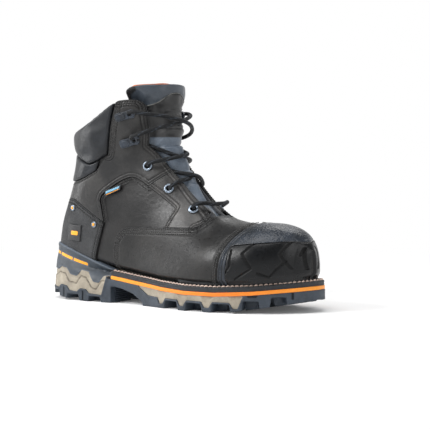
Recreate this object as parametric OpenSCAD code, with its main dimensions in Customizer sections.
// Six-inch steel toe work boot, right foot.
// +X points to the toe, +Z up, and the origin lies on the floor under the middle of the sole.
// The lateral side of the boot is -Y and the medial side is +Y.

/* [Layers] */
// Thickness of the upper leather
leather = 2.0; // [1.6:0.1:2.2]
// Thickness of the padded lining
lining_t = 3.0; // [2:0.1:3.2]
// Thickness of the leather overlays stitched on top
overlay_t = 1.8; // [1.2:0.1:2]
// Swell of the upper collar pad
collar_swell = 5.0; // [3:0.5:6]

/* [Sole] */
// Depth of the tread between the lugs
lug_depth = 8; // [6:0.5:8]
// Distance from one forefoot lug to the next
lug_pitch = 30; // [28:1:31]
// Length of a forefoot lug
lug_len = 13; // [11:1:15]
// Height of the welt strip
welt_h = 5; // [4:0.5:5]
// Height of the coloured foxing stripe
stripe_h = 3.5; // [3:0.5:4]
// Width of the welt and stripe rings
ring_w = 12; // [11:0.5:13]
// Spacing of the welt stitches
stitch_pitch = 5; // [4.5:0.5:8]

/* [Lacing] */
// Diameter of the lace
lace_d = 4.0; // [3:0.5:4]
// Hole in an eyelet
eyelet_bore = 5.2; // [5:0.1:5.6]
// Outer diameter of an eyelet
eyelet_od = 10; // [9:0.5:11]

/* [Tongue] */
// Height of the tongue fold above the floor
fold_z = 197; // [196:0.5:198]
// How far the tongue folds forward, degrees
fold_front = 30; // [10:1:30]
// Slope of the gap behind the fold, degrees
fold_back = 12; // [5:1:12]

/* [Hidden] */
$fn = 48;
fit = 0.05;

// Stations of the foot form, fanned from the toe tip round the ankle to the collar.
// Each row: front point x and z, back point x and z, half width, middle y,
// place of the widest point, roundness behind it and roundness in front of it.
FORM = [
    [150,  56,  150,  28, 0.6, 6, 0.30, 3.0, 2.2],
    [146,  66,  146,  27,  19, 6, 0.30, 3.5, 2.2],
    [136,  75,  136,  26,  34, 5, 0.30, 4.5, 2.2],
    [118,  80,  118,  24,  46, 4, 0.30, 5.0, 2.2],
    [ 96,  81,   94,  22,  51, 2, 0.28, 5.0, 2.1],
    [ 75,  83,   66,  22,  52, 0, 0.25, 5.0, 2.0],
    [ 56,  89,   36,  22,  49, -1, 0.22, 5.0, 1.9],
    [ 35, 106,   -4,  25,  43, -1, 0.22, 4.5, 1.8],
    [ 18, 126,  -46,  29,  39, 0, 0.25, 4.0, 1.8],
    [  5, 145,  -94,  33,  38, 0, 0.30, 4.0, 1.9],
    [ -4, 162, -143,  36,  38, 1, 0.38, 3.0, 2.0],
    [ -8, 175, -150,  68,  38, 1, 0.42, 2.3, 2.0],
    [-11, 185, -137, 105,  39, 1, 0.45, 2.2, 2.0],
    [-12, 194, -126, 135,  41, 1, 0.48, 2.2, 2.1],
    [-12, 203, -126, 158,  43, 1, 0.50, 2.2, 2.1],
    [-12, 222, -130, 190,  44, 1, 0.50, 2.2, 2.1]];
// Stations along the form at which its slices are cut
CUTS = [0, 0.25, 0.6, 1, 1.5, 2, 3, 4, 5, 6, 7, 8, 9, 9.6, 10, 10.5, 11, 12, 13, 14, 15];
slice_steps = 11;

// Plan of the sole: x and y, lateral side first
PLAN = [
    [-157.5, 0], [-152, -20], [-138, -35], [-114, -42], [-85, -41], [-50, -40], [-15, -43],
    [15, -50], [45, -56], [75, -55], [105, -48], [130, -34], [147, -16], [155, 0],
    [157.5, 12], [153, 28], [140, 42], [120, 52], [95, 56], [65, 54], [35, 48], [5, 41],
    [-30, 38], [-70, 40], [-110, 43], [-138, 36], [-152, 20]];
// Side view of the line where the upper meets the sole: x and z
FEATHER = [
    [-175, 39.5], [-157, 39], [-100, 37], [-60, 32.5], [-25, 28.5], [10, 25.5], [45, 24],
    [80, 24], [115, 26], [140, 28.5], [175, 32]];
// Side view of the ground line: the heel and the toe curve up
TREAD = [
    [-175, 7], [-157, 6], [-138, 4], [-115, 1.5], [-90, 0], [80, 0], [100, 1.5], [125, 5.5],
    [157, 12], [175, 16]];
breast_x = -60;
seat_drop = 2.2;

// Blend of four neighbouring rows, passing through the middle two
function spline(p, f) = 0.5 * (2 * p[1] + (p[2] - p[0]) * f
    + (2 * p[0] - 5 * p[1] + 4 * p[2] - p[3]) * f * f
    + (3 * p[1] - p[0] - 3 * p[2] + p[3]) * f * f * f);
function row_at(rows, u) =
    let (last = len(rows) - 1, i = min(max(floor(u), 0), last - 1))
    spline([rows[max(i - 1, 0)], rows[i], rows[i + 1], rows[min(i + 2, last)]], u - i);
// Half width at station u: its square is what runs smoothly, so the toe is round
function half_width(u) =
    let (last = len(FORM) - 1, i = min(max(floor(u), 0), last - 1))
    sqrt(max(0, spline([for (k = [-1:2])
        pow(FORM[min(max(i + k, 0), last)][4], 2)], u - i)));
function ring_at(rows, u) =
    let (n = len(rows), i = floor(u))
    spline([for (k = [-1:2]) rows[(i + k + n) % n]], u - i);

// Width of a slice at t, as a share of its half width
function slice_width(t, peak, behind, front) = t < peak
    ? pow(max(0, 1 - pow((peak - t) / peak, behind)), 1 / behind)
    : pow(max(0, 1 - pow((t - peak) / (1 - peak), front)), 1 / front);
// Point of the form at station u and height t, grown by d, on side -1 or 1
function form_point(u, t, side, d) =
    let (r = row_at(FORM, u),
         front = [r[0], r[1]], back = [r[2], r[3]],
         axis = (front - back) / norm(front - back),
         p = back - axis * d + (front - back + 2 * axis * d) * t,
         w = (half_width(u) + d) * slice_width(t, r[6], r[7], r[8]))
    [p[0] + d * max(0, 1 - u), r[5] + side * w, p[1]];
function form_normal(u, t, side, d) =
    let (e = 0.02,
         along = form_point(u + e, t, side, d) - form_point(u - e, t, side, d),
         up = form_point(u, t + e, side, d) - form_point(u, t - e, side, d),
         n = cross(along, up))
    n / norm(n) * (n[1] * side > 0 ? 1 : -1);
function slice_points(u, d) = concat(
    [for (k = [0:slice_steps]) form_point(u, (1 - cos(180 * k / slice_steps)) / 2, -1, d)],
    [for (k = [slice_steps - 1:-1:1])
        form_point(u, (1 - cos(180 * k / slice_steps)) / 2, 1, d)]);

// The foot form grown by d, between two of the cuts
module form(d, first = 0, last = len(CUTS) - 1) {
    for (i = [first:last - 1]) {
        points = concat(slice_points(CUTS[i], d), slice_points(CUTS[i + 1], d));
        hull() polyhedron(points, [[for (k = [0:len(points) - 1]) k]]);
    }
}
// A layer of the upper from depth d0 out to depth d1
module layer(d0, d1, first = 0, last = len(CUTS) - 1) {
    difference() {
        form(d1, first, last);
        form(d0, first, last);
    }
}
// A side view outline drawn in x and z, cut through one side (-1, 1) or both (0)
module side_cut(outline, side = 0) {
    reach = 80;
    translate([0, side < 0 ? 0 : reach, 0])
        rotate([90, 0, 0])
            linear_extrude(side == 0 ? 2 * reach : reach) polygon(outline);
}

// Plan outline of the sole moved inwards
function plan_points(inset) =
    let (n = len(PLAN), per = 4)
    [for (k = [0:n * per - 1])
        let (u = k / per,
             p = ring_at(PLAN, u),
             q = ring_at(PLAN, u + 0.05) - ring_at(PLAN, u + n - 0.05))
        p + [-q[1], q[0]] / norm(q) * inset];
module plan_block(inset, top = 90) {
    linear_extrude(top) polygon(plan_points(inset));
}
function shifted(line, dz) = [for (p = line) [p[0], p[1] + dz]];
function reversed(line) = [for (i = [len(line) - 1:-1:0]) line[i]];
function band(low, high) = concat(low, reversed(high));
function feather_z(x) = lookup(x, FEATHER);
function tread_z(x) = lookup(x, TREAD);

// Front edge of the lace flaps, top to bottom
FLAP_EDGE = [[-27, 203], [-24, 195], [-25, 160], [-16, 152], [1, 134], [26, 109], [44, 95.2],
             [50, 90]];
// Rear edge of the vamp across the instep
THROAT = [[64, 88.8], [120, 100]];
// Top of the collar, from the heel to the flap, and the rounded top of the flap
TOPLINE = [[-175, 169], [-135, 170], [-121, 173], [-98, 179], [-77, 189], [-57, 201],
           [-52, 203]];
FLAP_TOP = [[-48, 205], [-36, 206], [-30, 205]];
// Seam between the collar and the shaft, from the top down
COLLAR_SEAM = [[-52, 203], [-57, 185], [-62, 165], [-65, 151], [-76, 145]];
// Lower edges of the two collar pads, from the seam to the heel
PAD_EDGE = [[-76, 145], [-88, 141], [-97, 143], [-110, 148], [-119, 151.5], [-135, 153],
            [-175, 153]];
LOW_PAD_EDGE = [[-81, 134], [-97, 127], [-112, 123], [-135, 121], [-175, 121]];
// Arched lower edge of the shaft panel, from its front corner back
SHAFT_ARCH = [[1, 134], [-20, 119], [-30, 125], [-39, 128], [-50, 125], [-64, 117],
              [-74, 110], [-77, 104], [-71, 81]];
// Top edge of the heel overlay, and its front edge down to the sole
HEEL_TOP = [[-71, 81], [-111, 104], [-175, 112.5]];
HEEL_FRONT = [[-71, 81], [-83, 44], [-86, 20]];
// Top and rear edge of the vamp wing
WING_EDGE = [[41, 79], [5, 78], [-40, 77], [-49, 73], [-55, 65], [-57, 54], [-57, 20]];
// Rounded lower end of the eyestay, and its rear seam
EYESTAY_END = [[50, 90], [49.5, 85], [46, 81], [41, 79], [5, 78]];
EYESTAY_SEAM = [[5, 78], [13, 98], [-20, 119]];
// Rear edge of the toe overlay and top edge of the toe bumper
TOE_SEAM = [[84, 20], [85, 49], [88, 63], [94, 75], [106, 95]];
BUMPER_EDGE = [[93, 20], [93, 60], [96, 64], [115, 66], [141, 68], [148, 67], [175, 66]];
// Side edge of the tongue below the flaps
TONGUE_EDGE = [[-42, 226], [-41, 160], [-32, 148], [-14, 130], [12, 102], [30, 86],
               [45, 76], [84, 74]];

// Stations of the three eyelets and two lace loops, as slice number and height
EYELETS = [[6.95, 0.88], [8.33, 0.84], [9.8, 0.84]];
LOOPS = [[11.75, 0.8], [13.9, 0.78]];
LOOP_TILT = 15;
// Stations of the heel rivets
RIVETS = [[11, 0.255], [9.7, 0.37]];
rivet_d = 3;

// Route of one half of the lace, from its tail inside the lateral flap to the middle of
// the lowest bar: x, y, z, and how far it rides over the other half where they cross
LACE_HALF = [
    [-51, -20, 150, 0], [-51, -20, 160, 0], [-50, -20, 170, 0], [-47, -22, 180, 0],
    [-42, -25, 187, 0], [-38, -31, 191, 0], [-36, -37, 192, 0], [-34, -44, 193, 0],
    [-27, -44, 193, 0], [-17, -36, 191, 0], [-9, -24, 189, 1], [-4, -10, 186, 2.1],
    [-2, 4, 183, 2.1], [-4, 18, 180, 1], [-11, 31, 176, 0], [-20, 39, 172, 0],
    [-29, 42, 169, 0], [-35, 38, 167, 0], [-36, 31, 166, 0], [-37, 24, 164, 0],
    [-31, 20, 161, 0], [-20, 17, 157, 0], [-8, 12, 153, 1], [1, 5, 150, 2.1],
    [2, -6, 148, 2.1], [-3, -18, 146, 1], [-11, -27, 144, 0], [-19, -31, 142, 0],
    [-23, -26, 140, 0], [-25, -17, 138, 0], [-17, -14, 136, 0], [-3, -12, 133, 1],
    [11, -6, 130, 2.1], [15, 3, 128, 2.1], [12, 15, 125, 1], [7, 25, 120, 0],
    [2, 22, 116, 0], [-1, 14, 114, 0], [9, 12, 108, 0], [21, 12, 99, 0], [29, 15, 93, 0],
    [32, 20, 97, 0], [35, 26, 101, 0], [42, 20, 103, 0], [45, 10, 102, 0]];
function lifted(p, sign) = [p[0] + sign * p[3], p[1], p[2] + sign * p[3] * 0.5];
LACE_ROUTE = concat(
    [for (p = LACE_HALF) lifted(p, 1)],
    [for (p = reversed(LACE_HALF)) let (q = lifted(p, -1)) [q[0], -q[1], q[2]]]);

module above_feather(dz = 0) {
    side_cut(concat(shifted(FEATHER, dz), [[175, 260], [-175, 260]]));
}
module place_on(u, t, side, d) {
    n = form_normal(u, t, side, d);
    translate(form_point(u, t, side, d))
        rotate([0, acos(n[2]), atan2(n[1], n[0])])
            children();
}
// Holes through every layer for the lace
module lace_holes(rows, d) {
    for (row = rows, side = [-1, 1])
        place_on(row[0], row[1], side, 0) cylinder(d = d, h = 24, center = true, $fn = 16);
}
module flap_holes() {
    lace_holes(EYELETS, eyelet_bore + 1.4);
    lace_holes(LOOPS, eyelet_bore);
}

// --- Sole ---

WAVE_TOP = [[-175, 33], [-136, 31], [-130, 34.5], [-120, 33], [-114, 27], [-105, 25.5],
            [-99, 31.5], [-91, 30], [-83, 20.5], [-76, 19.5], [-70, 26.5], [-66, 26.5]];
WAVE_BOTTOM = [[-175, 15], [-132, 12.5], [-128, 16], [-118, 15], [-114, 10.5],
               [-104, 9.5], [-100, 13], [-92, 12.5], [-88, 8.5], [-72, 7.5]];
BREAST_TOP = [[-66, 26.5], [-64, 24], [-60, 24]];
foxing_z = welt_h + stripe_h;
first_lug = 6;
rim = 2.2;
lug_slope = 2.5;
groove_w = 9;
// Start and end of each gap between the lugs along the boot
GAPS = concat(
    [[-146, -132], [-117, -102], [-88, -74]],
    [for (k = [0:2]) [first_lug + lug_len + k * lug_pitch, first_lug + (k + 1) * lug_pitch]],
    [[first_lug + lug_len + 3 * lug_pitch, 122], [132, 142]]);
// Space under the arch, ahead of the heel
ARCH = [[-60, -5], [-60, 17], [-46, 15], [-31, 11], [-18, 4], [-14, -5]];

heel_lug_depth = 5.5;
function gap_outline(gap) =
    let (depth = gap[1] < breast_x ? heel_lug_depth : lug_depth,
         roof = tread_z((gap[0] + gap[1]) / 2) + depth)
    [[gap[0] - lug_slope, -5], [gap[0], roof], [gap[1], roof], [gap[1] + lug_slope, -5]];
// Underside of the midsole: a tooth reaches into every lug
tooth = 6;
tooth_z = 4.5;
MIDSOLE_BOTTOM = concat(
    [[-22, 18.5], [-9, 11]],
    [for (k = [0:2]) let (x = first_lug + lug_len / 2 + k * lug_pitch)
        each [[x - tooth, lug_depth + rim], [x - tooth * 0.4, tooth_z],
              [x + tooth * 0.4, tooth_z], [x + tooth, lug_depth + rim]]],
    [[96, lug_depth + rim], [100, tooth_z], [104, tooth_z], [109, 17]]);
MIDSOLE_TOP = [for (p = shifted(FEATHER, -foxing_z)) if (p[0] > -25 && p[0] < 109) p];
MIDSOLE = concat(MIDSOLE_BOTTOM, [[109, feather_z(109) - foxing_z]], reversed(MIDSOLE_TOP),
                 [[-22, feather_z(-22) - foxing_z]]);

module foot_outline() {
    side_cut(concat(TREAD, [[175, 90], [-175, 90]]));
}
module midsole_shape() {
    side_cut(MIDSOLE);
}
module insert_shape() {
    side_cut(band(WAVE_BOTTOM, WAVE_TOP));
}
module outsole() {
    sole_top = concat(WAVE_TOP, BREAST_TOP,
                      [for (p = shifted(FEATHER, -foxing_z)) if (p[0] > -55) p]);
    color("#3c444e") difference() {
        intersection() {
            plan_block(0);
            side_cut(band(TREAD, sole_top));
        }
        midsole_shape();
        insert_shape();
        side_cut(ARCH);
        for (gap = GAPS) side_cut(gap_outline(gap));
        translate([-200, -groove_w / 2, -5]) cube([400, groove_w, 5 + lug_depth * 0.5]);
    }
}
module midsole() {
    color("#a79f90") intersection() {
        plan_block(0.4);
        midsole_shape();
    }
}
module heel_insert() {
    color("#a79f90") intersection() {
        plan_block(0.4);
        insert_shape();
        foot_outline();
    }
}
CUP_TOP = [[-175, 61], [-157, 59.5], [-130, 56.5], [-94, 45.5], [-60, 33.5]];
STRIPE_LINE = [[-175, 53], [-157, 51.5], [-132, 47], [-94, 37.5]];
stripe_w = 2.4;
DASHES = [[-175, -137], [-134.5, -115], [-113, -94]];
module dash_cut() {
    for (dash = DASHES)
        side_cut([for (e = [[0, -1], [1, -1], [1, 1], [0, 1]])
            [dash[e[0]], lookup(dash[e[0]], STRIPE_LINE) + e[1] * stripe_w / 2]]);
}
module heel_stripes() {
    color("#f29a1e") intersection() {
        difference() {
            plan_block(0.1);
            plan_block(1.2);
        }
        dash_cut();
    }
}
module heel_cup() {
    color("#4a525c") difference() {
        intersection() {
            plan_block(0);
            side_cut(band(concat(WAVE_TOP, BREAST_TOP), CUP_TOP));
        }
        intersection() {
            form(leather + fit, 8);
            above_feather();
        }
        intersection() {
            plan_block(ring_w);
            above_feather(-seat_drop);
        }
        intersection() {
            difference() {
                plan_block(-1);
                plan_block(1.2);
            }
            dash_cut();
        }
        shank_shape();
    }
}
// A ring that follows the forefoot, from the heel breast round the toe
module foxing_ring(inset, low, high) {
    intersection() {
        difference() {
            plan_block(inset);
            plan_block(ring_w);
        }
        side_cut(band(concat([[breast_x, feather_z(breast_x) + low]],
                             [for (p = shifted(FEATHER, low)) if (p[0] > breast_x) p]),
                      concat([[breast_x, feather_z(breast_x) + high]],
                             [for (p = shifted(FEATHER, high)) if (p[0] > breast_x) p])));
    }
}
module foxing_stripe() {
    color("#f28c1a") foxing_ring(0.6, -foxing_z, -welt_h);
}
module welt() {
    color("#34393f") foxing_ring(1.2, -welt_h, 0);
}
module welt_stitches() {
    inset = 2.3;
    rim_line = plan_points(inset);
    n = len(rim_line);
    color("#cdb9a4")
    for (i = [0:n - 1]) {
        a = rim_line[i];
        b = rim_line[(i + 1) % n];
        count = max(1, round(norm(b - a) / stitch_pitch));
        for (k = [0:count - 1]) {
            p = a + (b - a) * (k + 0.5) / count;
            if (p[0] > breast_x + 3)
                translate([p[0], p[1], feather_z(p[0]) + 0.6])
                    rotate([0, 0, atan2(b[1] - a[1], b[0] - a[0])])
                        cube([stitch_pitch * 0.72, 1, 0.7], center = true);
        }
    }
}
// Room above the welt for its stitches, cut into the foot of the upper
module foot_band() {
    side_cut(band(shifted(FEATHER, -1), shifted(FEATHER, 1.1)));
}
module thread_channel() {
    difference() {
        foot_band();
        plan_block(3.2);
    }
}
SHANK_SPAN = [-105, 5];
module shank_shape() {
    intersection() {
        side_cut(band(shifted(FEATHER, -seat_drop - 1.6), shifted(FEATHER, -seat_drop)));
        translate([SHANK_SPAN[0], -9, 0]) cube([SHANK_SPAN[1] - SHANK_SPAN[0], 18, 90]);
    }
}
module shank() {
    color("#9aa0a6") shank_shape();
}
module filler() {
    color("#8a7f6c") difference() {
        intersection() {
            plan_block(ring_w);
            side_cut(band(shifted(FEATHER, -foxing_z), shifted(FEATHER, -seat_drop)));
            translate([breast_x, -80, 0]) cube([300, 160, 90]);
        }
        shank_shape();
    }
}
module insole_board() {
    color("#b9a27c") intersection() {
        plan_block(ring_w);
        side_cut(band(shifted(FEATHER, -seat_drop), FEATHER));
    }
}
footbed_t = 5;
module footbed() {
    color("#3a3d42") intersection() {
        form(-leather - lining_t - 1, 0, 16);
        side_cut(band(shifted(FEATHER, 0.1), shifted(FEATHER, footbed_t)));
    }
}

// --- Upper, from the inside out ---

in_1 = -2 * fit - leather;
in_0 = in_1 - fit;
lining_in = in_0 - lining_t;

// The part of a layer inside an outline, above the sole and clear of the lace holes
module panel(d0, d1, outline, side = 0, first = 0, last = len(CUTS) - 1) {
    difference() {
        intersection() {
            layer(d0, d1, first, last);
            side_cut(outline, side);
            above_feather();
        }
        flap_holes();
    }
}
LINING_JOIN = [[50, 90], [36, 60], [24, 20]];
BEHIND_FLAP = concat(TOPLINE, FLAP_TOP, FLAP_EDGE);
module quarter_lining() {
    color("#2e3136")
        panel(lining_in, in_0, concat([[-175, 20]], BEHIND_FLAP, LINING_JOIN), 0, 6);
}
module vamp_lining() {
    color("#34373c")
        panel(lining_in, in_0, concat([[50, 90]], THROAT, [[175, 100], [175, 20]],
                                      reversed(LINING_JOIN)), 0, 0, 12);
}
COUNTER_EDGE = [[-86, 20], [-86, 60], [-100, 72], [-175, 76]];
BACKING_EDGE = [[50, 90], [46, 78], [30, 20]];
CAP_EDGE = [[98, 20], [100, 60], [104, 100]];
module heel_counter() {
    color("#6b6459") panel(in_1, -fit, concat(COUNTER_EDGE, [[-175, 20]]), 0, 9);
}
module quarter(side) {
    color("#35373a")
        panel(in_1, -fit, concat(COUNTER_EDGE, BEHIND_FLAP, BACKING_EDGE), side, 7);
}
module quarter_lateral() {
    quarter(-1);
}
module quarter_medial() {
    quarter(1);
}
module vamp_backing() {
    color("#6a655c")
        panel(in_1, -fit, concat(BACKING_EDGE, CAP_EDGE, reversed(THROAT)), 0, 4, 12);
}
module steel_toe_cap() {
    color("#b3b7bb")
        panel(in_1, -fit, concat(CAP_EDGE, [[175, 100], [175, 20]]), 0, 0, 8);
}
module vamp() {
    color("#3a3c3e") difference() {
        panel(0, leather, concat(reversed(WING_EDGE), reversed(EYESTAY_END), THROAT,
                                 [[175, 100], [175, 20]]), 0, 0, 13);
        thread_channel();
    }
}
module eyestay(side) {
    color("#47494b")
        panel(0, leather, concat([for (k = [4:7]) FLAP_EDGE[k]], EYESTAY_END, EYESTAY_SEAM),
              side, 8, 15);
}
module eyestay_lateral() {
    eyestay(-1);
}
module eyestay_medial() {
    eyestay(1);
}
module shaft_panel(side) {
    outline = concat(reversed(FLAP_TOP), COLLAR_SEAM, LOW_PAD_EDGE, reversed(HEEL_TOP),
                     reversed(SHAFT_ARCH),
                     [for (k = [3:-1:0]) FLAP_EDGE[k]]);
    color("#414345") panel(0, leather, outline, side, 10);
}
module shaft_panel_lateral() {
    shaft_panel(-1);
}
module shaft_panel_medial() {
    shaft_panel(1);
}
module heel_overlay() {
    color("#2f3235") difference() {
        panel(0, leather, concat(reversed(HEEL_FRONT), HEEL_TOP, [[-175, 20]]), 0, 11, 18);
        for (row = RIVETS, side = [-1, 1])
            place_on(row[0], row[1], side, leather) cylinder(d = rivet_d + 0.3, h = 3, center = true);
    }
}
module collar_pad() {
    color("#3b434d")
        panel(0, collar_swell, concat(COLLAR_SEAM, PAD_EDGE, TOPLINE), 0, 15);
}
module collar_pad_lower() {
    color("#414a55")
        panel(0, collar_swell - 1.5,
              concat(PAD_EDGE, reversed(LOW_PAD_EDGE)), 0, 14);
}
module backstay() {
    color("#2f3235") intersection() {
        layer(leather + fit, leather + overlay_t, 14, 19);
        translate([-175, -8, 94]) cube([80, 18, 26]);
    }
}
module toe_overlay() {
    color("#2c2f34") difference() {
        panel(leather + fit, leather + overlay_t,
              concat(TOE_SEAM, [[175, 95]], reversed(BUMPER_EDGE)), 0, 0, 9);
        foot_band();
    }
}
module toe_bumper() {
    color("#23272c") difference() {
        panel(leather + fit, leather + overlay_t + 0.4,
              concat(BUMPER_EDGE, [[175, 20]]), 0, 0, 9);
        foot_band();
    }
}
module heel_label() {
    color("#1c1e20")
        panel(leather + fit, leather + 1.2,
              [[-119, 78.5], [-101, 77.5], [-103, 61], [-121.5, 62]], -1, 13, 17);
}
module side_tag() {
    color("#9fc4d8")
        panel(leather + fit, leather + 1.2,
              [[-70, 108], [-69.5, 114], [-50.5, 120.5], [-51.5, 115]], -1, 12, 16);
}
module rivet() {
    translate([0, 0, 0.3]) cylinder(d = 6.4, h = 0.9);
    translate([0, 0, 1.2]) cylinder(d1 = 5.6, d2 = 3, h = 0.7, $fn = 32);
    translate([0, 0, -1.3]) cylinder(d = rivet_d, h = 1.7);
}
module heel_rivets() {
    color("#b9bcc0")
    for (row = RIVETS, side = [-1, 1])
        place_on(row[0], row[1], side, leather) rivet();
}

// --- Tongue ---

fold_x = -14;
tongue_in = lining_in - 0.3;
tongue_t = 4;
tongue_swell = 4;
module tongue() {
    top = fold_z - 0.4;
    under_flaps = concat([for (p = TONGUE_EDGE) if (p[1] < top) p],
                         [[84, 110], [30, 170], [30, top], [-41.5, top]]);
    lower_front = [[-16, 162], [-12, 151], [4, 135], [29, 110], [47, 97.5], [55, 92],
                   [64, 93], [90, 120], [30, 170]];
    upper_front = [[-17, 161], [-21, 168], [-21, top], [30, top], [30, 161]];
    color("#39404a") difference() {
        union() {
            intersection() {
                form(tongue_in, 4);
                side_cut(under_flaps);
            }
            intersection() {
                form(-1, 4);
                side_cut(lower_front);
            }
            intersection() {
                form(tongue_swell, 12);
                side_cut(upper_front);
            }
        }
        form(tongue_in - tongue_t, 4);
    }
}
front_rise = tan(fold_front + 3);
back_rise = tan(fold_back + 3);
function fold_edge(x) = fold_z + 0.4
    + (x > fold_x ? (x - fold_x) * front_rise : (fold_x - x) * back_rise);
TONGUE_TOP_INNER = [[-34, fold_edge(-34)], [fold_x, fold_edge(fold_x)],
                    [10, fold_edge(10)], [10, 240], [-42, 240], [-42, 208], [-34, 207]];
module tongue_top() {
    outer = [[-21, fold_edge(-21) + 0.5], [fold_x, fold_edge(fold_x) + 0.5],
             [10, fold_edge(10) + 0.5], [10, 240], [-42, 240], [-42, 208.5], [-26, 207.5], [-22, 205]];
    color("#414a56") difference() {
        union() {
            intersection() {
                form(tongue_in - 0.8, 15);
                side_cut(TONGUE_TOP_INNER);
            }
            intersection() {
                form(tongue_swell + 1, 15);
                side_cut(outer);
            }
        }
        form(tongue_in - tongue_t, 15);
    }
}
module tongue_top_lining() {
    color("#e8812a") intersection() {
        layer(tongue_in - tongue_t - 1.5, tongue_in - tongue_t - fit, 16);
        side_cut(TONGUE_TOP_INNER);
    }
}
module gusset(side) {
    outline = [[-42, 180], [-41, 160], [-32, 148], [-14, 130], [12, 102], [4, 96],
               [-24, 126], [-42, 144], [-51, 158], [-52, 180]];
    color("#2b2e33") intersection() {
        layer(tongue_in - 1, tongue_in, 8);
        side_cut([for (p = outline) p - [0.4, 0.3]], side);
    }
}
module gusset_lateral() {
    gusset(-1);
}
module gusset_medial() {
    gusset(1);
}

// --- Lacing ---

module eyelet() {
    wall = 0.6;
    rotate_extrude() {
        translate([eyelet_bore / 2, -5]) square([wall, 6]);
        polygon([[eyelet_bore / 2, 0.4], [eyelet_od / 2, 0.4], [eyelet_od / 2, 0.8],
                 [eyelet_od / 2 - 0.8, 1.3], [eyelet_bore / 2 + wall, 1.5],
                 [eyelet_bore / 2, 1]]);
    }
}
module eyelets() {
    color("#9fb4c8")
    for (row = EYELETS, side = [-1, 1])
        place_on(row[0], row[1], side, 0) translate([0, 0, leather]) eyelet();
}
module lace_loop() {
    head = 9;
    length = 13;
    plate_z = 3.6;
    plate_t = 2.4;
    difference() {
        union() {
            translate([0, 0, plate_z]) linear_extrude(plate_t) hull() {
                circle(d = head, $fn = 32);
                translate([-length, 0]) square([4, 7], center = true);
            }
            translate([-length - 2, -3.5, 0.4]) cube([8, 7, plate_z]);
        }
        cylinder(d = eyelet_bore, h = 20, center = true);
    }
}
module lace_loops() {
    color("#2c3440")
    for (row = LOOPS, side = [-1, 1])
        place_on(row[0], row[1], side, leather)
            rotate([0, 0, -side * (90 + LOOP_TILT)]) lace_loop();
}
// A round tube along a route, one ring to a point
module tube(route, d, sides) {
    n = len(route);
    tangents = [for (i = [0:n - 1])
        let (v = route[min(i + 1, n - 1)] - route[max(i - 1, 0)]) v / norm(v)];
    // Each ring takes its first axis from the ring before, so the tube doesn't twist
    function axes(i, before) =
        let (a = before - tangents[i] * (before * tangents[i])) a / norm(a);
    function frames(i, before) = i == n ? [] :
        let (a = axes(i, before)) concat([a], frames(i + 1, a));
    first_axis = frames(0, [0, 1, 0]);
    points = [for (i = [0:n - 1], k = [0:sides - 1])
        let (a = first_axis[i], b = cross(tangents[i], a), w = 360 * k / sides)
        route[i] + (a * cos(w) + b * sin(w)) * d / 2];
    walls = [for (i = [0:n - 2], k = [0:sides - 1])
        let (j = (k + 1) % sides)
        each [[i * sides + k, (i + 1) * sides + k, i * sides + j],
              [i * sides + j, (i + 1) * sides + k, (i + 1) * sides + j]]];
    near_end = [for (k = [0:sides - 1]) k];
    far_end = [for (k = [sides - 1:-1:0]) (n - 1) * sides + k];
    polyhedron(points, concat([near_end], walls, [far_end]));
}
module lace() {
    color("#23262b") tube(LACE_ROUTE, lace_d, 8);
}
tip_len = 20;
module lace_tips() {
    color("#17181a")
    for (side = [-1, 1])
        translate([LACE_HALF[0][0], side * LACE_HALF[0][1], LACE_HALF[0][2] - tip_len])
            cylinder(d = 3, h = tip_len - fit);
}

outsole();
midsole();
heel_insert();
heel_cup();
heel_stripes();
foxing_stripe();
welt();
welt_stitches();
filler();
shank();
insole_board();
footbed();
quarter_lining();
vamp_lining();
steel_toe_cap();
heel_counter();
vamp_backing();
quarter_lateral();
quarter_medial();
vamp();
eyestay_lateral();
eyestay_medial();
shaft_panel_lateral();
shaft_panel_medial();
heel_overlay();
backstay();
toe_overlay();
toe_bumper();
collar_pad();
collar_pad_lower();
gusset_lateral();
gusset_medial();
tongue();
tongue_top();
tongue_top_lining();
eyelets();
lace_loops();
lace();
lace_tips();
heel_rivets();
heel_label();
side_tag();
